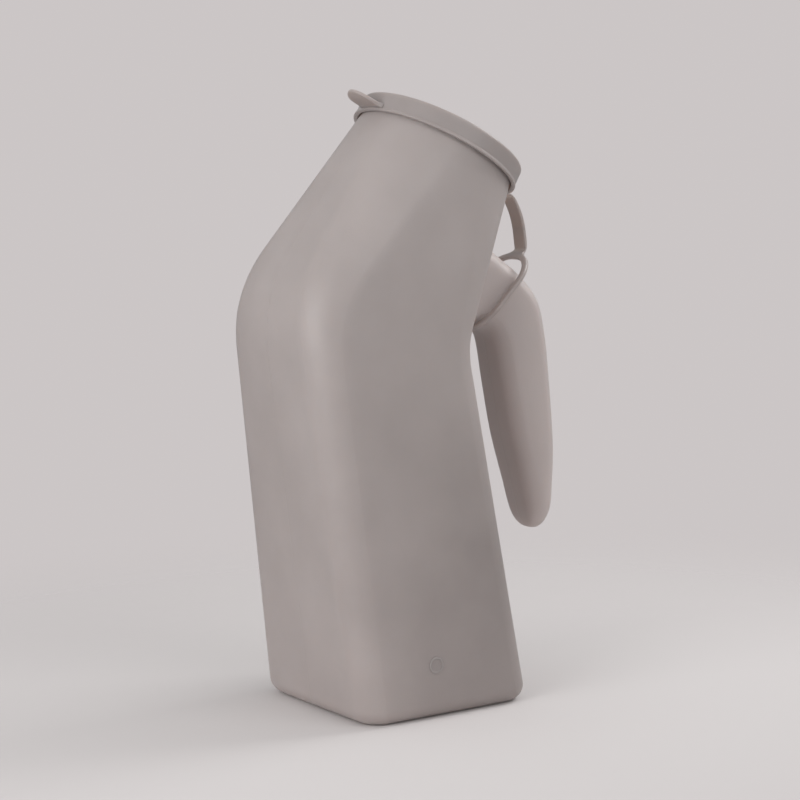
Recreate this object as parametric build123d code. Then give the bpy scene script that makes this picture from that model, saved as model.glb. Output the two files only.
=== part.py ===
from build123d import *
from math import cos, hypot, pi, radians, sin
import os

# Urine bottle with a tethered cover, in millimetres.
# The foot stands on Z = 0 and is centred on X = 0, Y = 0.
# The handle, the strap and the ring are on the +X side; the plane Y = 0 cuts the bottle into equal halves.

# ---- bottle
foot_depth = 83.0           # X, over the outside of the foot
foot_width = 87.0           # Y
foot_corner = 14.0          # corner radius seen from above
foot_edge = 7.5             # radius where the walls meet the bottom
shoulder_front = (-59.0, 171.0)   # X, Z where the leaning front wall turns back
shoulder_back = (22.0, 146.0)     # X, Z where the back wall turns out to the mouth
shoulder_width = 76.0
shoulder_corner = 18.0
front_rounding = 22.0
back_rounding = 9.0
wall = 1.5

# ---- mouth
mouth_centre = (25.8, 227.0)      # X, Z
mouth_tilt = 31.0                 # degrees from upright, leaning to the handle
neck_radius = 33.6
neck_collar = 1.4                 # straight neck above the mouth centre
rim_radius = 34.1
rim_height = 3.0
rim_top = neck_collar + rim_height

# ---- handle, a hollow hook that is open at the bottom
handle_wall = 1.5

# ---- cover
cover_radius = 36.0
cover_thickness = 1.6
cover_skirt = 1.4
cover_top = rim_top + cover_thickness
cover_bottom = -2.5
cover_flange_radius = 36.4
cover_flange_height = 1.0
panel_radius = 30.2
panel_drop = 0.9
snap_bead_radius = 34.35
tab_reach = 47.2
tab_width = 14.0
tab_thickness = 2.0

# ---- strap and ring
strap_width = 8.0
strap_thickness = 1.5
strap_top = (61.4, 206.0)         # X, Z of the upper flex line
strap_bottom = (67.6, 183.0)      # X, Z of the lower flex line
flex_gap = 0.35
ring_angle = 44.5                 # degrees, the ring leans back to the wall
ring_inner_length = 39.0
ring_inner_width = 27.6
ring_band = 2.7
ring_thickness = 1.8

# ---- raised marks
mark_height = 0.5
mark_line = 0.9
mark_step = 100                   # cubic centimetres between two lines
mark_last = 1000

mouth_plane = Plane(
    origin=(mouth_centre[0], 0, mouth_centre[1]),
    x_dir=(cos(radians(mouth_tilt)), 0, -sin(radians(mouth_tilt))),
    z_dir=(sin(radians(mouth_tilt)), 0, cos(radians(mouth_tilt))),
)


def mouth_point(outward, up):
    """X and Z of a point given by its distance behind the mouth's centre and above the mouth's plane."""
    tilt = radians(mouth_tilt)
    x = mouth_centre[0] + outward * cos(tilt) + up * sin(tilt)
    z = mouth_centre[1] - outward * sin(tilt) + up * cos(tilt)
    return x, z


def mix(start, end, amount):
    return start + (end - start) * amount


def wall_point(foot, turn, top, rounding, level):
    """X and Z on a wall line: level 0 is the foot, 1 the turn and 2 the mouth, with the turn rounded."""
    before = rounding / hypot(turn[0] - foot[0], turn[1] - foot[1])
    after = rounding / hypot(top[0] - turn[0], top[1] - turn[1])
    if level <= 1 - before:
        return mix(foot[0], turn[0], level), mix(foot[1], turn[1], level)
    if level >= 1 + after:
        return mix(turn[0], top[0], level - 1), mix(turn[1], top[1], level - 1)
    way = (level - 1 + before) / (before + after)
    point = []
    for axis in (0, 1):
        start = mix(turn[axis], foot[axis], before)
        end = mix(turn[axis], top[axis], after)
        point.append((1 - way) ** 2 * start + 2 * way * (1 - way) * turn[axis] + way ** 2 * end)
    return point[0], point[1]


def plate_between(first, second, width, corner):
    """A flat section through two points of the plane Y = 0, with rounded corners."""
    length = hypot(second[0] - first[0], second[1] - first[1])
    along = ((second[0] - first[0]) / length, 0, (second[1] - first[1]) / length)
    middle = ((first[0] + second[0]) / 2, 0, (first[1] + second[1]) / 2)
    plane = Plane(origin=middle, x_dir=along, z_dir=(-along[2], 0, along[0]))
    corner = min(corner, 0.485 * length, 0.485 * width)
    return plane * RectangleRounded(length, width, corner)


def shortened(first, second, inset):
    """The same two points, each moved towards the other."""
    length = hypot(second[0] - first[0], second[1] - first[1])
    share = inset / length
    start = (mix(first[0], second[0], share), mix(first[1], second[1], share))
    end = (mix(second[0], first[0], share), mix(second[1], first[1], share))
    return start, end


def bottle_section(level, inset):
    """One slanting slice through the walls."""
    front = wall_point((-foot_depth / 2, 0), shoulder_front, mouth_point(-neck_radius, 0), front_rounding, level)
    back = wall_point((foot_depth / 2, 0), shoulder_back, mouth_point(neck_radius, 0), back_rounding, level)
    front, back = shortened(front, back, inset)
    if level <= 1:
        width = mix(foot_width, shoulder_width, level)
        corner = mix(foot_corner, shoulder_corner, level)
    else:
        width = mix(shoulder_width, 2 * neck_radius, level - 1)
        corner = mix(shoulder_corner, neck_radius, level - 1)
    return plate_between(front, back, width - 2 * inset, corner - inset)


def foot_sections(inset):
    """Slices through the rounded edge at the bottom, from the floor up."""
    edge = foot_edge - inset
    slices = []
    for turn in (0, 20, 40, 60, 75):
        inward = edge * (1 - sin(radians(turn)))
        height = inset + edge * (1 - cos(radians(turn)))
        depth = foot_depth - 2 * (inset + inward)
        width = foot_width - 2 * (inset + inward)
        slices.append(Pos(0, 0, height) * RectangleRounded(depth, width, foot_corner - inset - inward))
    return slices


def collar_section(inset):
    start, end = shortened(mouth_point(-neck_radius, neck_collar), mouth_point(neck_radius, neck_collar), inset)
    return plate_between(start, end, 2 * (neck_radius - inset), neck_radius - inset)


def bottle_form(inset):
    """The filled shape of the bottle without its rim, drawn in by an inset."""
    slices = foot_sections(inset)
    for level in (0.05, 0.45, 0.87, 0.91, 0.94, 0.97, 1.0, 1.03, 1.06, 1.1, 1.15, 1.2, 1.25, 1.6, 2.0):
        slices.append(bottle_section(level, inset))
    slices.append(collar_section(inset))
    return loft(slices, ruled=True)


def handle_form(inset):
    """The filled hook: each pair is a point under the hook, a point over it, and the width there."""
    pairs = [
        ((15, 146), (31, 191), 30.0),
        ((29, 151), (44.5, 185.5), 26.6),
        ((37, 153.5), (53, 180), 24.6),
        ((43.5, 151.5), (62.5, 172.5), 24.4),
        ((47, 147), (70.8, 162), 24.8),
        ((48.8, 140), (74.2, 147), 25.4),
        ((50.8, 128), (75.7, 130), 26.0),
        ((54.5, 107), (77.2, 107), 26.0),
        ((58.4, 91), (77.5, 91), 25.2),
        ((62.2, 76), (76.6, 75.5), 22.4),
        ((64.4, 68.4), (74.8, 68), 17.5),
        ((67.2, 64), (72.0, 63.8), 9.5),
    ]
    if inset > 0:
        pairs = pairs[:-1]
    slices = []
    for under, over, width in pairs:
        start, end = shortened(under, over, inset)
        slices.append(plate_between(start, end, width - 2 * inset, 8.5 - inset))
    return loft(slices)


def bottle_body(outer, inner, handle_inner):
    """The hollow bottle: the hook's own hollow opens into it through the back wall."""
    return outer - inner - handle_inner


def bottle_rim():
    profile = Plane.XZ * Polyline(
        (neck_radius - wall, neck_collar),
        (rim_radius, neck_collar),
        (rim_radius, rim_top),
        (neck_radius - wall, rim_top),
        close=True,
    )
    ring = revolve(make_face(profile), Axis.Z)
    outside = ring.edges().filter_by(GeomType.CIRCLE).sort_by(lambda edge: edge.radius)[-2:]
    return mouth_plane.location * fillet(outside, 0.7)


def bottle_handle(outer, handle_outer, handle_inner):
    return handle_outer - handle_inner - outer


def side_slope(height):
    """Y of the flat side wall at a height."""
    turn_height = (shoulder_front[1] + shoulder_back[1]) / 2
    return mix(foot_width, shoulder_width, height / turn_height) / 2


def level_height(volume):
    """Height to which a volume in cubic centimetres fills the bottle."""
    filled = 0.0
    height = wall
    while filled < volume:
        front = wall_point((-foot_depth / 2, 0), shoulder_front, mouth_point(-neck_radius, 0),
                           front_rounding, height / shoulder_front[1])
        back = wall_point((foot_depth / 2, 0), shoulder_back, mouth_point(neck_radius, 0),
                          back_rounding, height / shoulder_back[1])
        depth = back[0] - front[0] - 2 * wall
        width = 2 * side_slope(height) - 2 * wall
        corner = mix(foot_corner, shoulder_corner, height / shoulder_back[1]) - wall
        filled += (depth * width - (4 - pi) * corner ** 2) * 0.5 / 1000
        height += 0.5
    return height


def graduation_marks(outer, raised):
    """A raised upright line with a short raised line at every step, on the +Y wall."""
    middle = -4.0
    first = level_height(mark_step)
    last = level_height(mark_last)
    outline = Pos(middle, (first + last) / 2) * Rectangle(mark_line, last - first + mark_line)
    for volume in range(mark_step, mark_last + 1, mark_step):
        length = 16.0 if volume % 500 == 0 else 10.0
        outline += Pos(middle - length / 2, level_height(volume)) * Rectangle(length, mark_line)
    behind = side_slope(last) - 3
    bars = extrude(Plane.XZ.offset(-behind) * outline, -12)
    return (bars & raised) - outer


def side_mark(outer, raised):
    """A plain raised ring low on the -Y wall."""
    height = 22.0
    ring = Circle(3.4) - Circle(2.4)
    tube = extrude(Plane.XZ.offset(side_slope(height) - 3) * Pos(-8, height) * ring, 8)
    return (tube & raised) - outer


def cover_cap():
    profile = Plane.XZ * Polyline(
        (0, cover_top - panel_drop),
        (panel_radius - 0.9, cover_top - panel_drop),
        (panel_radius, cover_top),
        (cover_radius - 1.0, cover_top),
        (cover_radius, cover_top - 1.0),
        (cover_radius, cover_bottom + cover_flange_height),
        (cover_flange_radius, cover_bottom + cover_flange_height),
        (cover_flange_radius, cover_bottom),
        (cover_radius - cover_skirt, cover_bottom),
        (cover_radius - cover_skirt, cover_bottom + 1.0),
        (snap_bead_radius, cover_bottom + 1.5),
        (cover_radius - cover_skirt, cover_bottom + 2.0),
        (cover_radius - cover_skirt, rim_top),
        (panel_radius, rim_top),
        (panel_radius - 0.9, rim_top - panel_drop),
        (0, rim_top - panel_drop),
        close=True,
    )
    return mouth_plane.location * revolve(make_face(profile), Axis.Z)


def cover_thumb_tab():
    low = cover_bottom + cover_flange_height
    side = Plane.XZ * Polyline(
        (-cover_radius + 1, low),
        (-cover_radius + 1, low + tab_thickness),
        (-tab_reach + 4, low + 1.5),
        (-tab_reach, low + 2.0),
        (-tab_reach, low + 0.9),
        (-tab_reach + 4, low),
        close=True,
    )
    slab = extrude(make_face(side), tab_width / 2, both=True)
    tip = Pos(-tab_reach + tab_width / 2, 0, low - 2) * Cylinder(tab_width / 2, 12)
    root = Pos(-cover_radius + 3, 0, low - 2) * Box(12, 22, 12)
    tab = slab & (tip + root)
    tab = tab - Cylinder(cover_radius, 40)
    return mouth_plane.location * tab


def cover_strap_root():
    """The short ear behind the cover that ends just before the upper flex line."""
    start = mouth_point(cover_radius - 1, -0.6)
    length = hypot(strap_top[0] - start[0], strap_top[1] - start[1])
    share = 1 - (strap_thickness / 2 + flex_gap) / length
    end = (mix(start[0], strap_top[0], share), mix(start[1], strap_top[1], share))
    line = Plane.XZ * Line(start, end)
    plane = Plane(origin=(start[0], 0, start[1]), x_dir=(0, 1, 0),
                  z_dir=(end[0] - start[0], 0, end[1] - start[1]))
    ear = extrude(plane * Rectangle(strap_width, strap_thickness), line.length)
    ear = ear - mouth_plane.location * Cylinder(cover_radius, 40)
    low = cover_bottom + cover_flange_height / 2
    return ear - mouth_plane.location * (Pos(0, 0, low) * Cylinder(cover_flange_radius, cover_flange_height))


def tether_strap():
    """A thin band with round ends on the two flex lines, bowed out behind the neck."""
    centre = Spline(
        strap_top,
        (64.9, 199.2),
        (67.0, 191.0),
        strap_bottom,
        tangents=[(0.6, -0.8), (0.0, -1.0)],
    )
    start = Plane(origin=(strap_top[0], 0, strap_top[1]), x_dir=(0, 1, 0), z_dir=(0.6, 0, -0.8))
    band = sweep(start * Rectangle(strap_width, strap_thickness), path=Plane.XZ * centre)
    for end in (strap_top, strap_bottom):
        band += Pos(end[0], 0, end[1]) * Rot(90, 0, 0) * Cylinder(strap_thickness / 2, strap_width)
    return band


def tether_ring():
    """A flat oval ring round the root of the handle, with a lug up to the lower flex line."""
    lean = radians(ring_angle)
    outer_length = ring_inner_length + 2 * ring_band
    outer_width = ring_inner_width + 2 * ring_band
    reach = strap_thickness / 2 + flex_gap
    lug = 1.6
    offset = reach + lug + outer_length / 2
    centre = (strap_bottom[0] - offset * cos(lean), strap_bottom[1] - offset * sin(lean))
    plane = Plane(
        origin=(centre[0], 0, centre[1]),
        x_dir=(cos(lean), 0, sin(lean)),
        z_dir=(-sin(lean), 0, cos(lean)),
    )
    outline = RectangleRounded(outer_length, outer_width, 0.47 * outer_width)
    hole = RectangleRounded(ring_inner_length, ring_inner_width, 0.46 * ring_inner_width)
    end = outer_length / 2 + lug
    lug_shape = make_face(Polyline(
        (end, -strap_width / 2),
        (end, strap_width / 2),
        (end - 4.5, strap_width / 2 + 3),
        (end - 4.5, -strap_width / 2 - 3),
        close=True,
    ))
    flat = outline + lug_shape - hole
    return extrude(plane * flat, ring_thickness / 2, both=True)


def save(shape, name):
    export_step(shape, "parts/" + name + ".step")
    print(name, "solids", len(shape.solids()), "volume", round(shape.volume, 1), "valid", shape.is_valid)


os.makedirs("parts", exist_ok=True)
outer_form = bottle_form(0)
inner_form = bottle_form(wall)
raised_form = bottle_form(-mark_height)
handle_outer_form = handle_form(0)
handle_inner_form = handle_form(handle_wall)

save(bottle_body(outer_form, inner_form, handle_inner_form), "bottle_body")
save(bottle_rim(), "bottle_rim")
save(bottle_handle(outer_form, handle_outer_form, handle_inner_form), "bottle_handle")
save(graduation_marks(outer_form, raised_form), "graduation_marks")
save(side_mark(outer_form, raised_form), "side_mark")
save(cover_cap(), "cover_cap")
save(cover_thumb_tab(), "cover_thumb_tab")
save(cover_strap_root(), "cover_strap_root")
save(tether_strap(), "tether_strap")
save(tether_ring(), "tether_ring")
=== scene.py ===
# %% [markdown]
# # A bedside urine bottle with a tethered cover
# The real object is two mouldings. The bottle and its hollow hook handle are blown in one piece
# from milky polyethylene. The cover, its thumb tab, its strap and its ring are one soft moulding
# that is looped round the root of the handle, so it can't be dropped.
# This lesson builds fine surfaces for both around a fixed CAD frame, which says where every
# piece is and how it moves.

import math

import bmesh
import bpy
from mathutils import Matrix, Vector
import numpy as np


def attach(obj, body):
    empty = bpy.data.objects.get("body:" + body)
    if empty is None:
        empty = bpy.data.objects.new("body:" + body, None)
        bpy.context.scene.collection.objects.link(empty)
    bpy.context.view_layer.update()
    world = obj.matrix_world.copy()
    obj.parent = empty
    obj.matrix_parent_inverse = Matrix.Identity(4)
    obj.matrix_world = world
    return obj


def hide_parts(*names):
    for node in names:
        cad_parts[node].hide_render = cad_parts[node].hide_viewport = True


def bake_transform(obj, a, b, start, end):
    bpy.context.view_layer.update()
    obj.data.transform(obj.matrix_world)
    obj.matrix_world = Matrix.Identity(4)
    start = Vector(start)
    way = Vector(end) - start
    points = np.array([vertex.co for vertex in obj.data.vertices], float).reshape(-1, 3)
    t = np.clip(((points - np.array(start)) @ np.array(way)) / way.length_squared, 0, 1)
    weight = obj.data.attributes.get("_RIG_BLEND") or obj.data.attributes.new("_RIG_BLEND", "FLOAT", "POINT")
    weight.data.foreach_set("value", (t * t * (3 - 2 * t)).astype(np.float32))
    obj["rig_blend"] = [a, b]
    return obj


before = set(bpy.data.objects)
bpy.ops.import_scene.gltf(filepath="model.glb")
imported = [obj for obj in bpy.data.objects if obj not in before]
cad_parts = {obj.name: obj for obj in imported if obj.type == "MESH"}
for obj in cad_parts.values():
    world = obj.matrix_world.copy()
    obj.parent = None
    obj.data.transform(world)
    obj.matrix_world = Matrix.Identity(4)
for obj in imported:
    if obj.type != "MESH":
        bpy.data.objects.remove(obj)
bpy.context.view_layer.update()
MM = 0.001
print("frame nodes:", sorted(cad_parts))

# %% [markdown]
# ## The sizes
# Everything is in metres, in the frame's own axes: Z is up, X points to the handle, and the
# bottle is the same on both sides of Y = 0. The mouth leans back over the handle, so it gets
# three directions of its own. Every later cell places things by them.

# %% Sizes of the bottle and the mouth
FOOT_HALF_DEPTH = 41.5 * MM
FOOT_HALF_WIDTH = 43.5 * MM
FOOT_CORNER = 14 * MM
FOOT_EDGE = 7.5 * MM
FRONT_TURN = Vector((-59, 0, 171)) * MM
BACK_TURN = Vector((22, 0, 146)) * MM
TURN_HALF_WIDTH = 38 * MM
TURN_CORNER = 18 * MM
FRONT_ROUNDING = 22
BACK_ROUNDING = 9
SIDE_TURN_HEIGHT = (FRONT_TURN.z + BACK_TURN.z) / 2
SIDE_LEAN = (FOOT_HALF_WIDTH - TURN_HALF_WIDTH) / SIDE_TURN_HEIGHT
WALL = 1.5 * MM
MOUTH_CENTRE = Vector((25.8, 0, 227)) * MM
MOUTH_TILT = math.radians(31)
NECK = 33.6
OUTWARD = Vector((math.cos(MOUTH_TILT), 0, -math.sin(MOUTH_TILT)))
UPWARD = Vector((math.sin(MOUTH_TILT), 0, math.cos(MOUTH_TILT)))
SIDEWAYS = Vector((0, 1, 0))


def at_mouth(outward, upward):
    """A point given in millimetres behind the mouth's centre and above the mouth's plane."""
    return MOUTH_CENTRE + OUTWARD * outward * MM + UPWARD * upward * MM


print("mouth centre at", tuple(round(v, 4) for v in at_mouth(0, 0)))

# %% [markdown]
# ## Slices and skins
# Almost every piece here follows one rule: take a row of slices, each a rectangle with rounded
# corners, and stretch a skin over them. A lofted tool in a drawing program does the same.
# In Blender a Geometry Nodes tree can do it for all of them. The slices go in as a row of
# points, and each point carries the slice's two directions, its two half sizes and its corner.

# %% A slice and a row of slices
SLICE_VECTORS = ("along", "across")
SLICE_NUMBERS = ("half_long", "half_wide", "corner")


def piece_slice(centre, along, across, half_long, half_wide, corner):
    """One slice. The corner never gets larger than the slice itself."""
    return {
        "centre": Vector(centre),
        "along": Vector(along),
        "across": Vector(across),
        "half_long": half_long,
        "half_wide": half_wide,
        "corner": min(corner, half_long, half_wide),
    }


def row_of_slices(name, slices):
    """The slices as an object: one loose point for each, with its values as attributes."""
    mesh = bpy.data.meshes.new(name)
    mesh.from_pydata([s["centre"] for s in slices], [], [])
    for key in SLICE_VECTORS:
        attribute = mesh.attributes.new(key, "FLOAT_VECTOR", "POINT")
        attribute.data.foreach_set("vector", [v for s in slices for v in s[key]])
    for key in SLICE_NUMBERS:
        attribute = mesh.attributes.new(key, "FLOAT", "POINT")
        attribute.data.foreach_set("value", [s[key] for s in slices])
    row = bpy.data.objects.new(name, mesh)
    bpy.context.scene.collection.objects.link(row)
    return row


# %% [markdown]
# A Geometry Nodes tree is easier to follow when it is written like a recipe, from top to
# bottom. This small helper adds a node, fills its inputs and hands back its first output.

# %% A helper that writes a node tree
class Recipe:
    """Writes a Geometry Nodes tree one step at a time."""

    def __init__(self, name):
        self.tree = bpy.data.node_groups.new(name, "GeometryNodeTree")
        self.tree.is_modifier = True
        for way in ("INPUT", "OUTPUT"):
            self.tree.interface.new_socket("Geometry", in_out=way, socket_type="NodeSocketGeometry")
        self.start = self.tree.nodes.new("NodeGroupInput")
        self.finish = self.tree.nodes.new("NodeGroupOutput")

    def size(self, name, kind, value=None):
        """A named input of the tree."""
        socket = self.tree.interface.new_socket(name, in_out="INPUT", socket_type="NodeSocket" + kind)
        if value is not None:
            socket.default_value = value
        return self.start.outputs[name]

    def feed(self, socket, value):
        if isinstance(value, bpy.types.NodeSocket):
            self.tree.links.new(value, socket)
        else:
            socket.default_value = value

    def step(self, kind, inputs=None, output=0, **settings):
        """Adds a node. inputs names or numbers its sockets, settings are its own options."""
        node = self.tree.nodes.new(kind)
        for key, value in settings.items():
            setattr(node, key, value)
        for key, value in (inputs or {}).items():
            self.feed(node.inputs[key], value)
        return node.outputs[output]

    def sum(self, operation, first, second=0.0):
        return self.step("ShaderNodeMath", {0: first, 1: second}, operation=operation)

    def stretch(self, vector, amount):
        return self.step("ShaderNodeVectorMath", {0: vector, "Scale": amount}, operation="SCALE")

    def join(self, first, second):
        return self.step("ShaderNodeVectorMath", {0: first, 1: second}, operation="ADD")

    def end(self, geometry, material):
        """Every tree ends the same way: real geometry, with its material on it."""
        real = self.step("GeometryNodeRealizeInstances", {"Geometry": geometry})
        coated = self.step("GeometryNodeSetMaterial", {"Geometry": real, "Material": material})
        self.feed(self.finish.inputs[0], coated)
        return self.tree


# %% The tree that stretches a skin over slices
def skin_tree():
    recipe = Recipe("Skin over slices")
    around = recipe.size("Around", "Int", 96)
    flatness = recipe.size("Flatness", "Float", 4.0)
    material = recipe.size("Material", "Material")
    slices = recipe.start.outputs["Geometry"]
    count = recipe.step("GeometryNodeAttributeDomainSize", {"Geometry": slices})
    columns = recipe.sum("ADD", around, 1)
    grid = recipe.step("GeometryNodeMeshGrid", {
        "Size X": 1.0, "Size Y": 1.0, "Vertices X": columns, "Vertices Y": count})
    place = recipe.step("GeometryNodeInputPosition")
    spot = recipe.tree.nodes.new("ShaderNodeSeparateXYZ")
    recipe.feed(spot.inputs[0], place)
    turn = recipe.sum("MULTIPLY", recipe.sum("ADD", spot.outputs[0], 0.5), math.tau)
    last = recipe.sum("SUBTRACT", count, 1)
    step_up = recipe.sum("MULTIPLY", recipe.sum("ADD", spot.outputs[1], 0.5), last)
    which = recipe.sum("ROUND", step_up)

    def of_slice(name, kind):
        if name == "centre":
            value = recipe.step("GeometryNodeInputPosition")
        else:
            value = recipe.step("GeometryNodeInputNamedAttribute", {"Name": name}, data_type=kind)
        return recipe.step("GeometryNodeSampleIndex", {
            "Geometry": slices, "Value": value, "Index": which}, data_type=kind, domain="POINT")

    corner = of_slice("corner", "FLOAT")
    point = of_slice("centre", "FLOAT_VECTOR")
    for wave, half, way in (("COSINE", "half_long", "along"), ("SINE", "half_wide", "across")):
        swing = recipe.sum(wave, turn)
        side = recipe.step("ShaderNodeClamp", {
            "Value": recipe.sum("MULTIPLY", swing, flatness), "Min": -1.0, "Max": 1.0})
        flat = recipe.sum("MULTIPLY", side, recipe.sum("SUBTRACT", of_slice(half, "FLOAT"), corner))
        reach = recipe.sum("ADD", flat, recipe.sum("MULTIPLY", swing, corner))
        point = recipe.join(point, recipe.stretch(of_slice(way, "FLOAT_VECTOR"), reach))
    skin = recipe.step("GeometryNodeSetPosition", {"Geometry": grid, "Position": point})
    closed = recipe.step("GeometryNodeMergeByDistance", {"Geometry": skin, "Distance": 2e-6})
    smooth = recipe.step("GeometryNodeSetShadeSmooth", {"Geometry": closed, "Shade Smooth": True})
    return recipe.end(smooth, material)


SKIN = skin_tree()
print("skin tree:", len(SKIN.nodes), "nodes")


# %% Turn a tree's result into a plain mesh
def socket_id(tree, name):
    """A modifier's input is set by its identifier, which is not its name."""
    return next(s.identifier for s in tree.interface.items_tree if s.name == name and s.in_out == "INPUT")


def bake(name, source, tree, **values):
    """Runs the tree on the source object once and keeps the result as a plain mesh."""
    modifier = source.modifiers.new("recipe", "NODES")
    modifier.node_group = tree
    for key, value in values.items():
        modifier[socket_id(tree, key.replace("_", " "))] = value
    graph = bpy.context.evaluated_depsgraph_get()
    mesh = bpy.data.meshes.new_from_object(source.evaluated_get(graph), depsgraph=graph)
    mesh.name = name
    for attribute in [a.name for a in mesh.attributes if a.name in SLICE_VECTORS + SLICE_NUMBERS]:
        mesh.attributes.remove(mesh.attributes[attribute])
    bpy.data.objects.remove(source)
    mesh.set_sharp_from_angle(angle=math.radians(40))
    piece = bpy.data.objects.new(name, mesh)
    bpy.context.scene.collection.objects.link(piece)
    print(name, len(mesh.polygons), "faces")
    return piece


def skin(name, slices, material, around=96, flatness=4.0):
    row = row_of_slices(name + "_slices", slices)
    return bake(name, row, SKIN, Around=around, Flatness=flatness, Material=material)


# %% [markdown]
# ## The plastic
# Unfilled polyethylene is milky: light goes in, scatters and comes out somewhere else, so edges
# and shadows turn soft. The Principled shader's subsurface does that. What makes it look
# moulded is small: the wall's thickness drifts, which clouds the colour, the mould's sanded
# face leaves a fine grain, and a faint line shows where its two halves met. The bottle and the
# cover share these, so they are one node group with its own values in each material. The
# bottle's colour is also painted darker low down and towards the back, as painted shade, and
# the handle's copy of the plastic is painted lighter, as painted light where the body shades it.

# %% A node group for a moulded surface
def moulded_surface():
    group = bpy.data.node_groups.new("Moulded surface", "ShaderNodeTree")
    faces = group.interface
    for name, value in (
        ("Cloud Size", 30.0), ("Cloud Depth", 0.5), ("Grain Size", 900.0),
        ("Grain Height", 0.1), ("Wave Height", 0.3), ("Line Height", 0.0), ("Gloss Drift", 0.05),
        ("Roughness", 0.4), ("Painted Low Back Shade", 0.0),
    ):
        faces.new_socket(name, in_out="INPUT", socket_type="NodeSocketFloat").default_value = value
    for name in ("Thin Wall And Shade Colour", "Thick Colour"):
        faces.new_socket(name, in_out="INPUT", socket_type="NodeSocketColor")
    for name, kind in (("Colour", "Color"), ("Roughness", "Float"), ("Normal", "Vector")):
        faces.new_socket(name, in_out="OUTPUT", socket_type="NodeSocket" + kind)
    nodes, links = group.nodes, group.links
    inside = nodes.new("NodeGroupInput")
    outside = nodes.new("NodeGroupOutput")
    place = nodes.new("ShaderNodeTexCoord").outputs["Object"]

    def noise(scale, detail):
        node = nodes.new("ShaderNodeTexNoise")
        node.inputs["Detail"].default_value = detail
        links.new(place, node.inputs["Vector"])
        if isinstance(scale, str):
            links.new(inside.outputs[scale], node.inputs["Scale"])
        else:
            node.inputs["Scale"].default_value = scale
        return node.outputs["Fac"]

    def maths(operation, first, second=0.0):
        node = nodes.new("ShaderNodeMath")
        node.operation = operation
        for socket, value in zip(node.inputs, (first, second)):
            if isinstance(value, bpy.types.NodeSocket):
                links.new(value, socket)
            else:
                socket.default_value = value
        return node.outputs[0]

    def centred(value):
        return maths("SUBTRACT", value, 0.5)

    def share(value, start, end):
        """0 at the start and 1 at the end, with a smooth run between."""
        node = nodes.new("ShaderNodeMapRange")
        node.interpolation_type = "SMOOTHSTEP"
        node.inputs["From Min"].default_value = start
        node.inputs["From Max"].default_value = end
        links.new(value, node.inputs["Value"])
        return node.outputs["Result"]

    split = nodes.new("ShaderNodeSeparateXYZ")
    links.new(place, split.inputs[0])
    # Painted shade: the colour is pulled towards the darker end low down and towards the back.
    low_down = maths("SUBTRACT", 1.0, share(split.outputs["Z"], 0.0, 0.20))
    to_the_back = share(split.outputs["X"], -0.09, 0.045)
    painted_low_back_shade = maths("MULTIPLY", maths("MULTIPLY", low_down, to_the_back), inside.outputs["Painted Low Back Shade"])
    clouds = noise("Cloud Size", 3.0)
    cloudy = maths("MULTIPLY", centred(clouds), inside.outputs["Cloud Depth"])
    spread = maths("SUBTRACT", cloudy, painted_low_back_shade)
    tint = nodes.new("ShaderNodeMix")
    tint.data_type = "RGBA"
    links.new(maths("ADD", spread, 0.7), tint.inputs["Factor"])
    links.new(inside.outputs["Thin Wall And Shade Colour"], tint.inputs["A"])
    links.new(inside.outputs["Thick Colour"], tint.inputs["B"])
    links.new(tint.outputs["Result"], outside.inputs["Colour"])

    drift = maths("MULTIPLY", centred(noise(120.0, 4.0)), inside.outputs["Gloss Drift"])
    links.new(maths("ADD", inside.outputs["Roughness"], drift), outside.inputs["Roughness"])

    off_the_line = share(maths("ABSOLUTE", split.outputs["Y"]), 0.0, 0.00045)
    height = maths("MULTIPLY", maths("SUBTRACT", 1.0, off_the_line), inside.outputs["Line Height"])
    grain = maths("MULTIPLY", noise("Grain Size", 2.0), inside.outputs["Grain Height"])
    waves = maths("MULTIPLY", noise(22.0, 1.0), inside.outputs["Wave Height"])
    height = maths("ADD", maths("ADD", height, grain), waves)
    bump = nodes.new("ShaderNodeBump")
    bump.inputs["Strength"].default_value = 1.0
    bump.inputs["Distance"].default_value = MM
    links.new(height, bump.inputs["Height"])
    links.new(bump.outputs["Normal"], outside.inputs["Normal"])
    return group


SURFACE = moulded_surface()


# %% The plastics
def plastic(name, thin_and_shade, thick, subsurface, values):
    """A milky plastic: what is the same all over is set on the shader itself."""
    material = bpy.data.materials.new(name)
    material.use_nodes = True
    nodes, links = material.node_tree.nodes, material.node_tree.links
    shader = nodes["Principled BSDF"]
    surface = nodes.new("ShaderNodeGroup")
    surface.node_tree = SURFACE
    surface.inputs["Thin Wall And Shade Colour"].default_value = (*thin_and_shade, 1)
    surface.inputs["Thick Colour"].default_value = (*thick, 1)
    for key, value in values.items():
        surface.inputs[key].default_value = value
    links.new(surface.outputs["Colour"], shader.inputs["Base Color"])
    links.new(surface.outputs["Roughness"], shader.inputs["Roughness"])
    links.new(surface.outputs["Normal"], shader.inputs["Normal"])
    shader.inputs["Subsurface Weight"].default_value = subsurface
    shader.inputs["Subsurface Radius"].default_value = (1.0, 0.85, 0.75)
    shader.inputs["Subsurface Scale"].default_value = 0.006
    shader.inputs["IOR"].default_value = 1.51
    return material


# The bottle gets painted shade: its colour turns darker low down and towards the back.
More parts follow.
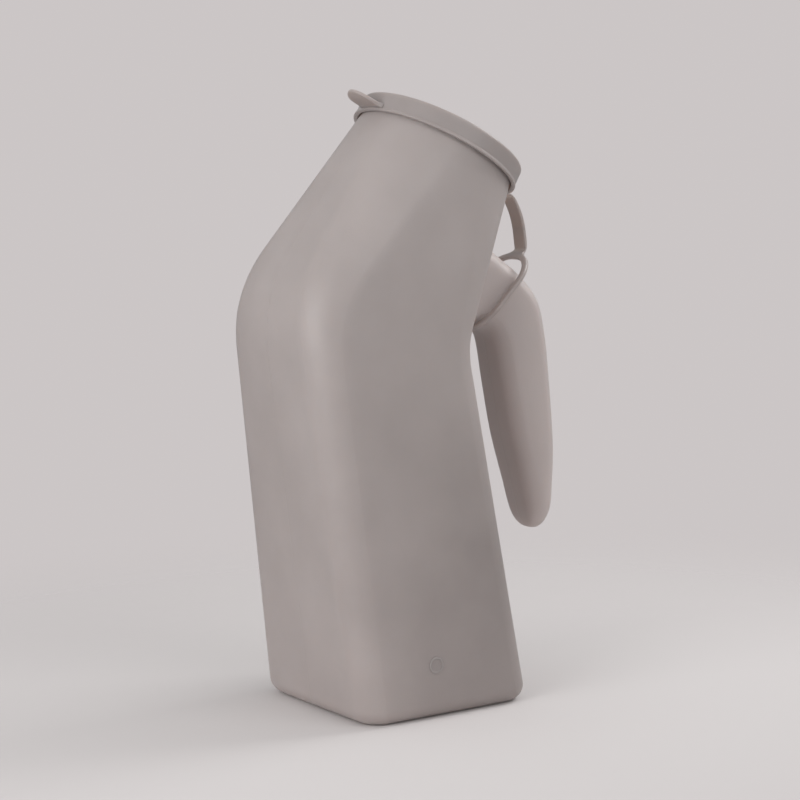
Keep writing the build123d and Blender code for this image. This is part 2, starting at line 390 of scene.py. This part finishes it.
BOTTLE_PLASTIC = plastic(
    "milky_bottle_plastic", (0.34, 0.297, 0.286), (0.605, 0.53, 0.512), 0.45,
    {"Cloud Size": 26.0, "Cloud Depth": 0.55, "Grain Size": 1400.0, "Grain Height": 0.03,
     "Wave Height": 0.35, "Line Height": 0.12, "Gloss Drift": 0.10, "Roughness": 0.44,
     "Painted Low Back Shade": 0.9})
# The handle's copy of the plastic is painted lighter: painted light where the bottle's body shades the
# handle.
HANDLE_PLASTIC_PAINTED_LIGHTER = plastic(
    "milky_handle_plastic_painted_lighter", (0.50, 0.44, 0.425), (0.64, 0.565, 0.547), 0.6,
    {"Cloud Size": 34.0, "Cloud Depth": 0.6, "Grain Size": 1400.0, "Grain Height": 0.03,
     "Wave Height": 0.30, "Line Height": 0.14, "Gloss Drift": 0.10, "Roughness": 0.44})
COVER_PLASTIC = plastic(
    "soft_cover_plastic", (0.37, 0.325, 0.315), (0.48, 0.425, 0.412), 0.4,
    {"Cloud Size": 40.0, "Cloud Depth": 0.8, "Grain Size": 1800.0, "Grain Height": 0.02,
     "Wave Height": 0.12, "Gloss Drift": 0.08, "Roughness": 0.38})
print("materials:", BOTTLE_PLASTIC.name, HANDLE_PLASTIC_PAINTED_LIGHTER.name, COVER_PLASTIC.name)

# %% [markdown]
# ## The bottle
# Two wall lines in the plane Y = 0 give the bottle its shape. The front wall leans out to a
# shoulder and then runs back to the mouth. The back wall leans in, turns and runs out to the
# mouth. Between them, each slice is a rounded rectangle that becomes a circle at the neck.
# One skin goes up the outside, over the rim and down the inside, so the wall has a real
# thickness and nothing is left open.

# %% Wall lines with rounded turns
def wall_point(foot, turn, top, rounding, level):
    """Level 0 is the foot, 1 the turn and 2 the mouth. The turn is rounded over some millimetres."""
    before = rounding * MM / (turn - foot).length
    after = rounding * MM / (top - turn).length
    way = min(max((level - 1 + before) / (before + after), 0), 1)
    to_foot = before * (1 - way) ** 2 + max(0, 1 - before - level)
    to_top = after * way ** 2 + max(0, level - 1 - after)
    return turn + (foot - turn) * to_foot + (top - turn) * to_top


def between(start, end, amount):
    return start + (end - start) * amount


def front_point(level):
    return wall_point(Vector((-FOOT_HALF_DEPTH, 0, 0)), FRONT_TURN, at_mouth(-NECK, 0), FRONT_ROUNDING, level)


def back_point(level):
    return wall_point(Vector((FOOT_HALF_DEPTH, 0, 0)), BACK_TURN, at_mouth(NECK, 0), BACK_ROUNDING, level)


def wall_slice(level, inset):
    front, back = front_point(level), back_point(level)
    if level <= 1:
        half_width = between(FOOT_HALF_WIDTH, TURN_HALF_WIDTH, level)
        corner = between(FOOT_CORNER, TURN_CORNER, level)
    else:
        half_width = between(TURN_HALF_WIDTH, NECK * MM, level - 1)
        corner = between(TURN_CORNER, NECK * MM, level - 1)
    half_depth = (back - front).length / 2 - inset
    return piece_slice((front + back) / 2, (back - front).normalized(), SIDEWAYS,
                       half_depth, half_width - inset, corner - inset)


print("front shoulder at", tuple(round(v, 4) for v in wall_slice(1, 0)["centre"]))


# %% Slices for the foot, the walls and the rim
def foot_slices(inset):
    """From the middle of the bottom out to the edge and round it."""
    edge = FOOT_EDGE - inset
    slices = []
    for share in (0.0, 0.3, 0.6, 0.85, 0.95):
        slices.append(foot_slice(inset, inset + edge, share))
    for number in range(10):
        turn = math.radians(9 * number)
        slices.append(foot_slice(inset + edge * (1 - math.cos(turn)), inset + edge * (1 - math.sin(turn)), 1))
    return slices


def foot_slice(height, inset, share):
    """A level slice. It follows the lean of the walls, so that the edge runs into them."""
    foot = Vector((FOOT_HALF_DEPTH, 0, 0))
    front = between(-foot, FRONT_TURN, height / FRONT_TURN.z)
    back = between(foot, BACK_TURN, height / BACK_TURN.z)
    half_width = between(FOOT_HALF_WIDTH, TURN_HALF_WIDTH, height / BACK_TURN.z)
    half_depth = (back - front).length / 2
    return piece_slice((front + back) / 2, (1, 0, 0), SIDEWAYS, (half_depth - inset) * share,
                       (half_width - inset) * share, (FOOT_CORNER - inset) * share)


def wall_levels():
    """Few slices where the walls are straight, many where they turn."""
    low = [0.055 + 0.067 * number for number in range(12)]
    turn = [0.865 + 0.01 * number for number in range(41)]
    high = [1.3 + 0.07 * number for number in range(11)]
    return low + turn + high


def mouth_slice(radius, upward):
    """A round slice in the mouth's own directions, in millimetres."""
    return piece_slice(at_mouth(0, upward), OUTWARD, SIDEWAYS, radius * MM, radius * MM, radius * MM)


RIM_LINE = [
    (33.6, 0.0), (33.6, 1.0), (33.7, 1.3), (34.0, 1.55), (34.1, 1.9), (34.1, 3.7), (34.0, 4.1),
    (33.7, 4.35), (33.3, 4.4), (32.7, 4.4), (32.35, 4.25), (32.15, 3.95), (32.1, 3.5), (32.1, 0.0),
]


def bottle_slices():
    levels = wall_levels()
    outside = foot_slices(0) + [wall_slice(level, 0) for level in levels]
    inside = [wall_slice(level, WALL) for level in reversed(levels)] + foot_slices(WALL)[::-1]
    return outside + [mouth_slice(*point) for point in RIM_LINE] + inside


bottle = skin("bottle_walls", bottle_slices(), BOTTLE_PLASTIC, around=144, flatness=4.0)

# %% [markdown]
# ## The hook handle
# The handle is blown with the bottle: a hollow hook that leaves the back wall over a hand's
# width, turns down over the fingers and ends in a rounded tip. It is open at the bottom so
# that it can hang on a bed rail. Its slices fan round the inside of the hook. Each one is given
# by a point under the hook, a point over it and the width there.

# %% Slices along the hook
HOOK = [
    ((15, 146), (31, 191), 30.0),
    ((29, 151), (44.5, 185.5), 26.6),
    ((37, 153.5), (53, 180), 24.6),
    ((43.5, 151.5), (62.5, 172.5), 24.4),
    ((47, 147), (70.8, 162), 24.8),
    ((48.8, 140), (74.2, 147), 25.4),
    ((50.8, 128), (75.7, 130), 26.0),
    ((54.5, 107), (77.2, 107), 26.0),
    ((58.4, 91), (77.5, 91), 25.2),
    ((62.2, 76), (76.6, 75.5), 22.4),
    ((64.4, 68.4), (74.8, 68), 17.5),
    ((67.2, 64.2), (72.0, 64.0), 9.5),
    ((69.6, 63.2), (69.8, 63.2), 0.4),
]


def smooth_row(rows, steps):
    """A smooth run through rows of numbers, with the given steps from each row to the next."""
    result = []
    for number in range(len(rows) - 1):
        first, second = rows[number], rows[number + 1]
        before = rows[max(number - 1, 0)]
        after = rows[min(number + 2, len(rows) - 1)]
        for step in range(steps):
            way = step / steps
            result.append([
                0.5 * (2 * b + (c - a) * way + (2 * a - 5 * b + 4 * c - d) * way ** 2
                       + (3 * b - a - 3 * c + d) * way ** 3)
                for a, b, c, d in zip(before, first, second, after)
            ])
    return result + [list(rows[-1])]


def hook_slices():
    rows = [(*under, *over, width) for under, over, width in HOOK]
    slices = []
    for x_under, z_under, x_over, z_over, width in smooth_row(rows, 6):
        under = Vector((x_under, 0, z_under)) * MM
        over = Vector((x_over, 0, z_over)) * MM
        length = (over - under).length
        slices.append(piece_slice((under + over) / 2, (over - under).normalized(), -SIDEWAYS,
                                  length / 2, max(width, 0) / 2 * MM, 8.5 * MM))
    tip = slices[-1]
    slices.append(piece_slice(tip["centre"], tip["along"], tip["across"], 0, 0, 0))
    root = slices[0]
    return [piece_slice(root["centre"], root["along"], root["across"], 0, 0, 0)] + slices


handle = skin("hook_handle", hook_slices(), HANDLE_PLASTIC_PAINTED_LIGHTER, around=72, flatness=3.0)


# %% [markdown]
# The hook's root has to end in the wall, and not show inside the mouth. A Boolean modifier
# cuts it with a filled copy of the bottle, drawn in by half the wall.

# %% Cut the hook's root at the wall
def filled_bottle(inset):
    """The closed form inside the wall's middle, only used as a cutter."""
    levels = [0.1 + 0.1 * number for number in range(9)] + [1 + 0.04 * number for number in range(26)]
    bottom = piece_slice((0, 0, 0.01), (1, 0, 0), SIDEWAYS, 0, 0, 0)
    top = mouth_slice(0, 0)
    middle = [wall_slice(level, inset) for level in levels]
    return skin("cutter", [bottom] + middle + [top], BOTTLE_PLASTIC, around=72, flatness=4.0)


def cut_away(piece, cutter):
    modifier = piece.modifiers.new("cut", "BOOLEAN")
    modifier.operation = "DIFFERENCE"
    modifier.solver = "EXACT"
    modifier.object = cutter
    graph = bpy.context.evaluated_depsgraph_get()
    mesh = bpy.data.meshes.new_from_object(piece.evaluated_get(graph), depsgraph=graph)
    piece.modifiers.clear()
    piece.data = mesh
    bpy.data.objects.remove(cutter)
    print(piece.name, "after the cut:", len(mesh.polygons), "faces")


cut_away(handle, filled_bottle(WALL / 2))

# %% [markdown]
# ## The cover
# The cover is a shallow cap: a sunk panel, a skirt that goes over the rim, and a small step
# along its lower edge. It is turned about the mouth's axis, so its slices are circles, and
# the line below is simply its cross section, walked round from the middle of the underside to
# the middle of the top.

# %% The cap
CAP_LINE = [
    (0, 3.5), (28.9, 3.5), (29.3, 3.6), (30.1, 4.3), (30.4, 4.4), (34.0, 4.4), (34.4, 4.3),
    (34.6, 4.0), (34.6, 3.7), (34.6, -0.5), (34.35, -1.0), (34.6, -1.5), (34.6, -2.3), (34.8, -2.5),
    (36.2, -2.5), (36.4, -2.35), (36.4, -1.65), (36.3, -1.52), (36.1, -1.47), (36.0, -1.35),
    (36.0, -1.1), (36.0, 4.6), (36.0, 4.9), (35.9, 5.35), (35.6, 5.75), (35.15, 5.95), (34.8, 6.0),
    (34.5, 6.0), (30.6, 6.0), (30.3, 5.95), (29.4, 5.25), (29.1, 5.12), (28.7, 5.1), (0, 5.1),
]
cap = skin("cover_cap_moulding", [mouth_slice(*point) for point in CAP_LINE], COVER_PLASTIC, around=128)

# %% [markdown]
# The thumb tab is a flat tongue that grows out of the skirt, just above the step. It gets
# thinner and turns up a little towards its rounded tip, so a thumb finds it.

# %% The thumb tab
TAB_ROOT = 35.4
TAB_BEND = 42.0
TAB_REACH = 47.2
TAB_HALF_WIDTH = 7.0


def tab_slice(reach, from_tip):
    """A slice across the tongue, by its distance from the mouth's axis."""
    half_width = TAB_HALF_WIDTH * math.sqrt(max(0, 1 - (1 - from_tip) ** 2))
    flare = 1.1 * max(0, 1 - (reach - TAB_ROOT) / 3) ** 2
    turned_up = max(0, (reach - TAB_BEND) / (TAB_REACH - TAB_BEND)) ** 1.5
    low = -1.5 + 0.9 * turned_up
    high = max(low, 0.5 - 0.5 * math.sin(math.pi * min(1, (reach - TAB_ROOT) / 12)))
    return piece_slice(at_mouth(-reach, (low + high) / 2), SIDEWAYS, -UPWARD,
                       (half_width + flare) * MM, (high - low) / 2 * MM, 0.45 * MM)


def tab_slices():
    slices = []
    for number in range(30):
        reach = between(TAB_ROOT, TAB_REACH, math.sin(number / 30 * math.pi / 2))
        slices.append(tab_slice(reach, min((TAB_REACH - reach) / TAB_HALF_WIDTH, 1)))
    first, last = slices[0], slices[-1]
    root = piece_slice(first["centre"], SIDEWAYS, -UPWARD, 0, 0, 0)
    tip = piece_slice(last["centre"] - OUTWARD * 0.05 * MM, SIDEWAYS, -UPWARD, 0, 0, 0)
    return [root] + slices + [tip]


tab = skin("cover_thumb_tongue", tab_slices(), COVER_PLASTIC, around=48, flatness=6.0)

# %% [markdown]
# ## The strap and the ring
# The strap is a thin band, 8 mm wide, that bows out behind the neck. It is thinner at both ends,
# where it folds. When the cover opens, the band leans out and folds at these two lines, so it
# is made in two halves, and each half bends across one fold.

# %% The strap's path
STRAP_PATH = [
    (55.6, 208.4, 1.5), (58.2, 207.35, 1.5), (60.5, 206.35, 0.95), (61.5, 205.6, 0.9),
    (62.6, 204.0, 1.35), (64.9, 199.2, 1.5), (66.2, 195.2, 1.5), (67.0, 191.0, 1.5),
    (67.45, 187.0, 1.5), (67.65, 184.5, 1.35), (67.5, 182.95, 0.85), (66.8, 182.0, 1.0),
    (65.7, 181.0, 1.5), (64.9, 180.2, 1.6),
]
STEPS = 6
STRAP_JOIN = 7 * STEPS


def strap_width(share):
    """8 mm, but wider over the last stretch, where the strap runs into the ring."""
    return 8.0 + 6.0 * max(0, (share - 0.86) / 0.14) ** 1.5


def strap_slices(first, last, sunk):
    """A stretch of the strap. The first slices of a sunk stretch hide inside the stretch before."""
    fine = smooth_row(STRAP_PATH, STEPS)
    slices = []
    for number in range(first, last):
        ahead = fine[min(number + 1, len(fine) - 1)]
        behind = fine[max(number - 1, 0)]
        travel = Vector((ahead[0] - behind[0], 0, ahead[1] - behind[1])).normalized()
        x, z, thickness = fine[number]
        shrink = 0.97 if number < first + sunk else 1.0
        slices.append(piece_slice(Vector((x, 0, z)) * MM, SIDEWAYS, travel.cross(SIDEWAYS),
                                  strap_width(number / (len(fine) - 1)) / 2 * MM * shrink,
                                  thickness / 2 * MM * shrink, 0.45 * MM))
    ends = []
    for end in (slices[0], slices[-1]):
        ends.append(piece_slice(end["centre"], end["along"], end["across"], 0, 0, 0))
    return [ends[0]] + slices + [ends[1]]


STRAP_END = (len(STRAP_PATH) - 1) * STEPS + 1
strap_upper = skin("strap_upper", strap_slices(0, STRAP_JOIN, 0), COVER_PLASTIC, around=40, flatness=6.0)
strap_lower = skin("strap_lower", strap_slices(STRAP_JOIN - 4, STRAP_END, 4),
                   COVER_PLASTIC, around=40, flatness=6.0)

# %% [markdown]
# The ring is a flat oval band round the root of the hook. Its slices go once round the oval,
# and the last one lies on the first, so the merge in the tree closes it.

# %% The ring
RING_LEAN = math.radians(44.5)
RING_ALONG = Vector((math.cos(RING_LEAN), 0, math.sin(RING_LEAN)))
RING_TOP = Vector((67.6, 0, 183.0)) * MM
RING_HALF_LENGTH = 20.85 * MM
RING_HALF_WIDTH = 15.15 * MM
RING_CORNER = 14.1 * MM
RING_CENTRE = RING_TOP - RING_ALONG * (4.05 * MM + RING_HALF_LENGTH)


def loop_slices(centre, along, across, half_long, half_wide, corner, band, thickness, steps):
    """Slices round a closed oval that lies in the plane of along and across."""
    slices = []
    for number in range(steps + 1):
        turn = math.tau * (number + 0.5) / steps
        away = along * math.cos(turn) + across * math.sin(turn)
        travel = across * math.cos(turn) - along * math.sin(turn)
        long_side = math.copysign(half_long - corner, math.cos(turn))
        wide_side = math.copysign(half_wide - corner, math.sin(turn))
        point = centre + along * long_side + across * wide_side + away * corner
        slices.append(piece_slice(point, away, travel.cross(away), band / 2, thickness / 2, thickness * 0.3))
    return slices


ring = skin("handle_ring", loop_slices(RING_CENTRE, RING_ALONG, SIDEWAYS, RING_HALF_LENGTH,
                                       RING_HALF_WIDTH, RING_CORNER, 2.7 * MM, 1.8 * MM, 96),
            COVER_PLASTIC, around=24, flatness=4.0)

# %% [markdown]
# ## Raised marks
# The scale stands out of the far side wall by half a millimetre, because it was cut into the
# mould. One short bar is put at every 100 cubic centimetres by a tree that copies it to a row of
# points. The heights come from filling the bottle's own shape, slice by slice.

# %% Heights of the marks
def side_y(height, inset=0.0):
    """How far out the flat side wall is at a height."""
    return FOOT_HALF_WIDTH - SIDE_LEAN * height - inset


def level_heights(volumes):
    """The height of the surface for each volume, in cubic centimetres."""
    heights, filled, height, step = [], 0.0, WALL, 0.25 * MM
    while len(heights) < len(volumes):
        depth = back_point(height / BACK_TURN.z).x - front_point(height / FRONT_TURN.z).x - 2 * WALL
        width = 2 * side_y(height, WALL)
        corner = between(FOOT_CORNER, TURN_CORNER, height / BACK_TURN.z) - WALL
        filled += (depth * width - (4 - math.pi) * corner ** 2) * step * 1e6
        height += step
        if filled >= volumes[len(heights)]:
            heights.append(height)
    return heights


VOLUMES = list(range(100, 1001, 100))
MARK_HEIGHTS = level_heights(VOLUMES)
print("marks at", [round(height / MM) for height in MARK_HEIGHTS], "mm")


# %% The tree that copies a bar to every mark
BAR_DEPTH = 1.4 * MM


def bar_tree():
    recipe = Recipe("Bars at the marks")
    thickness = recipe.size("Bar Thickness", "Float", 0.9 * MM)
    lean = recipe.size("Wall Lean", "Float", 0.0)
    material = recipe.size("Material", "Material")
    length = recipe.step("GeometryNodeInputNamedAttribute", {"Name": "length"}, data_type="FLOAT")
    upright = recipe.step("GeometryNodeInputNamedAttribute", {"Name": "upright"}, data_type="FLOAT")
    wide = recipe.step("ShaderNodeCombineXYZ", {"X": 1.0, "Y": 1.0, "Z": 1.0})
    bar = recipe.step("GeometryNodeMeshCube", {
        "Size": wide, "Vertices X": 2, "Vertices Y": 2, "Vertices Z": 2})
    tall = recipe.step("GeometryNodeSwitch", {
        "Switch": upright, "False": thickness, "True": length}, input_type="FLOAT")
    broad = recipe.step("GeometryNodeSwitch", {
        "Switch": upright, "False": length, "True": thickness}, input_type="FLOAT")
    scale = recipe.step("ShaderNodeCombineXYZ", {"X": broad, "Y": BAR_DEPTH, "Z": tall})
    turn = recipe.step("ShaderNodeCombineXYZ", {"X": lean})
    copies = recipe.step("GeometryNodeInstanceOnPoints", {
        "Points": recipe.start.outputs["Geometry"], "Instance": bar, "Rotation": turn, "Scale": scale})
    return recipe.end(copies, material)


# %% The scale
SPINE_X = -4 * MM
SPINE_PIECES = 24
BAR_SUNK = BAR_DEPTH / 2 - 0.5 * MM


def bar_length(volume):
    """The bars at 500 and 1000 are longer."""
    return (16 if volume % 500 == 0 else 10) * MM


def scale_points():
    """One point for each bar, sunk so that each bar stands half a millimetre proud."""
    points, lengths, upright = [], [], []
    for volume, height in zip(VOLUMES, MARK_HEIGHTS):
        length = bar_length(volume)
        points.append((SPINE_X - length / 2, side_y(height) - BAR_SUNK, height))
        lengths.append(length)
        upright.append(0.0)
    low, high = MARK_HEIGHTS[0], MARK_HEIGHTS[-1]
    for number in range(SPINE_PIECES):
        height = between(low, high, (number + 0.5) / SPINE_PIECES)
        points.append((SPINE_X, side_y(height) - BAR_SUNK, height))
        lengths.append((high - low) / SPINE_PIECES + 0.02 * MM)
        upright.append(1.0)
    return points, lengths, upright


def scale_bars():
    points, lengths, upright = scale_points()
    mesh = bpy.data.meshes.new("scale_points")
    mesh.from_pydata(points, [], [])
    for name, values in (("length", lengths), ("upright", upright)):
        mesh.attributes.new(name, "FLOAT", "POINT").data.foreach_set("value", values)
    source = bpy.data.objects.new("scale_points", mesh)
    bpy.context.scene.collection.objects.link(source)
    return bake("scale_bars", source, bar_tree(), Bar_Thickness=0.9 * MM, Wall_Lean=math.atan(SIDE_LEAN),
                Material=BOTTLE_PLASTIC)


bars = scale_bars()


# %% [markdown]
# The numbers are Text objects. Text is a curve, so each one is made a mesh first, and only then
# turned to face away from the bottle and moved to its bar. Its front and its sides come apart, so
# the joined mesh is welded at the end.

# %% The numbers on the scale
def raised_text(words, size, corner_point):
    curve = bpy.data.curves.new("text_" + words, "FONT")
    curve.body = words
    curve.size = size
    curve.extrude = 0.5 * MM
    curve.resolution_u = 3
    writing = bpy.data.objects.new("text_" + words, curve)
    bpy.context.scene.collection.objects.link(writing)
    graph = bpy.context.evaluated_depsgraph_get()
    mesh = bpy.data.meshes.new_from_object(writing.evaluated_get(graph), depsgraph=graph)
    bpy.data.objects.remove(writing)
    turn = Matrix(((-1, 0, 0), (0, 0, 1), (0, 1, 0))).to_4x4()
    mesh.transform(Matrix.Translation(corner_point) @ turn)
    return mesh


def scale_numbers():
    """All numbers in one mesh."""
    verts, faces = [], []
    for volume, height in zip(VOLUMES, MARK_HEIGHTS):
        length = bar_length(volume)
        size = (8.0 if volume % 500 == 0 else 6.6) * MM
        place = Vector((SPINE_X - length - 1.4 * MM, side_y(height) - 0.05 * MM, height - size * 0.34))
        mesh = raised_text(str(volume), size, place)
        base = len(verts)
        verts += [v.co.copy() for v in mesh.vertices]
        faces += [[base + index for index in p.vertices] for p in mesh.polygons]
    mesh = bpy.data.meshes.new("scale_numbers")
    mesh.from_pydata(verts, [], faces)
    weld = bmesh.new()
    weld.from_mesh(mesh)
    bmesh.ops.remove_doubles(weld, verts=weld.verts, dist=1e-6)
    weld.to_mesh(mesh)
    weld.free()
    mesh.materials.append(BOTTLE_PLASTIC)
    piece = bpy.data.objects.new("scale_numbers", mesh)
    bpy.context.scene.collection.objects.link(piece)
    print("scale_numbers", len(mesh.polygons), "faces")
    return piece


numbers = scale_numbers()

# %% [markdown]
# A small plain ring low on the near side stands where a maker would put a mark. It is a loop of
# slices again, laid on the leaning wall.

# %% The small ring mark
MARK_CENTRE = Vector((-8 * MM, -side_y(22 * MM) + 0.05 * MM, 22 * MM))
WALL_UP = Vector((0, SIDE_LEAN, 1)).normalized()
small_mark = skin("side_ring_mark", loop_slices(MARK_CENTRE, Vector((1, 0, 0)), WALL_UP, 2.9 * MM, 2.9 * MM,
                                                2.9 * MM, 1.0 * MM, 0.8 * MM, 48),
                  BOTTLE_PLASTIC, around=16, flatness=3.0)

# %% [markdown]
# ## What moves with what
# The frame has four bodies: the bottle, the ring, the strap and the cover. A solid piece rides on
# its body. The two halves of the strap bend instead, each across one fold line.

# %% Ride, bend and replace
for piece, body, nodes in (
    (bottle, "bottle", ("bottle_body", "bottle_rim")),
    (handle, "bottle", ("bottle_handle",)),
    (bars, "bottle", ("graduation_marks",)),
    (numbers, "bottle", ()),
    (small_mark, "bottle", ("side_mark",)),
    (ring, "ring", ("tether_ring",)),
    (cap, "cover", ("cover_cap",)),
    (tab, "cover", ("cover_thumb_tab",)),
):
    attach(piece, body)
    if nodes:
        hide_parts(*nodes)
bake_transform(strap_upper, "strap", "cover", (0.0626, 0, 0.2042), (0.0599, 0, 0.2068))
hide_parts("cover_strap_root")
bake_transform(strap_lower, "ring", "strap", (0.0664, 0, 0.1812), (0.0678, 0, 0.1850))
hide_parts("tether_strap")
print("pieces placed")


# %% [markdown]
# ## The studio
# A plain pale floor fades into a background of nearly the same tone, so there is no horizon. A
# soft light stands close by on the left, which shades the walls from left to right. A weak
# one fills from the front, a small one reaches the handle from behind, and the world's light
# softens the rest.

# %% The floor
PALE = (0.60, 0.565, 0.565, 1)


def pale_floor():
    mesh = bpy.data.meshes.new("floor")
    corners = [(3.5 * math.cos(math.tau * n / 96), 3.5 * math.sin(math.tau * n / 96), 0) for n in range(96)]
    mesh.from_pydata(corners, [], [list(range(96))])
    floor = bpy.data.objects.new("floor", mesh)
    bpy.context.scene.collection.objects.link(floor)
    paint = bpy.data.materials.new("pale_floor")
    paint.use_nodes = True
    nodes, links = paint.node_tree.nodes, paint.node_tree.links
    shader = nodes["Principled BSDF"]
    shader.inputs["Base Color"].default_value = (0.78, 0.745, 0.74, 1)
    shader.inputs["Roughness"].default_value = 0.9
    place = nodes.new("ShaderNodeTexCoord").outputs["Object"]
    distance = nodes.new("ShaderNodeVectorMath")
    distance.operation = "LENGTH"
    links.new(place, distance.inputs[0])
    fade = nodes.new("ShaderNodeMapRange")
    fade.interpolation_type = "SMOOTHSTEP"
    for key, value in (("From Min", 0.06), ("From Max", 0.42), ("To Min", 1.0), ("To Max", 0.0)):
        fade.inputs[key].default_value = value
    links.new(distance.outputs["Value"], fade.inputs["Value"])
    links.new(fade.outputs["Result"], shader.inputs["Alpha"])
    mesh.materials.append(paint)
    return floor


pale_floor()


# %% Lights and background
def soft_light(name, place, aim, width, height, power):
    data = bpy.data.lights.new(name, "AREA")
    data.shape = "RECTANGLE"
    data.size = width
    data.size_y = height
    data.energy = power
    lamp = bpy.data.objects.new(name, data)
    lamp.location = place
    lamp.rotation_euler = (Vector(aim) - Vector(place)).to_track_quat("-Z", "Y").to_euler()
    bpy.context.scene.collection.objects.link(lamp)
    return lamp


def studio_world():
    """Pale where the camera sees it. As a light it is strongest overhead and weak from below."""
    world = bpy.data.worlds.new("studio")
    world.use_nodes = True
    nodes, links = world.node_tree.nodes, world.node_tree.links
    seen = nodes["Background"]
    seen.inputs["Color"].default_value = PALE
    lighting = nodes.new("ShaderNodeBackground")
    lighting.inputs["Color"].default_value = (1, 1, 1, 1)
    split = nodes.new("ShaderNodeSeparateXYZ")
    links.new(nodes.new("ShaderNodeTexCoord").outputs["Generated"], split.inputs[0])
    sky = nodes.new("ShaderNodeMapRange")
    for key, value in (("From Min", -0.3), ("From Max", 0.8), ("To Min", 0.18), ("To Max", 0.54)):
        sky.inputs[key].default_value = value
    links.new(split.outputs["Z"], sky.inputs["Value"])
    links.new(sky.outputs["Result"], lighting.inputs["Strength"])
    mix = nodes.new("ShaderNodeMixShader")
    links.new(nodes.new("ShaderNodeLightPath").outputs["Is Camera Ray"], mix.inputs["Fac"])
    links.new(lighting.outputs[0], mix.inputs[1])
    links.new(seen.outputs[0], mix.inputs[2])
    links.new(mix.outputs[0], nodes["World Output"].inputs["Surface"])
    bpy.context.scene.world = world


soft_light("key_from_the_left", (-0.64, -0.18, 0.30), (0, 0, 0.14), 0.45, 0.5, 2.05)
soft_light("weak_fill", (0.35, -1.3, 0.8), (0, 0, 0.15), 1.0, 1.0, 3.5)
soft_light("handle_light", (0.50, -0.08, 0.50), (0.05, 0, 0.14), 0.30, 0.3, 1.4)
studio_world()
bpy.context.scene.view_settings.view_transform = "Standard"

# %% The camera
CAMERA_PLACE = Vector((-0.5151, -0.8136, 0.2445))
CAMERA_AIM = Vector((0.005, 0, 0.124))
CAMERA_ROLL = math.radians(1.43)
lens = bpy.data.cameras.new("camera")
lens.lens = 106
lens.clip_start = 0.05
camera = bpy.data.objects.new("camera", lens)
camera.location = CAMERA_PLACE
look = (CAMERA_AIM - CAMERA_PLACE).to_track_quat("-Z", "Y").to_matrix()
camera.rotation_euler = (look @ Matrix.Rotation(-CAMERA_ROLL, 3, "Z")).to_euler()
bpy.context.scene.collection.objects.link(camera)
bpy.context.scene.camera = camera
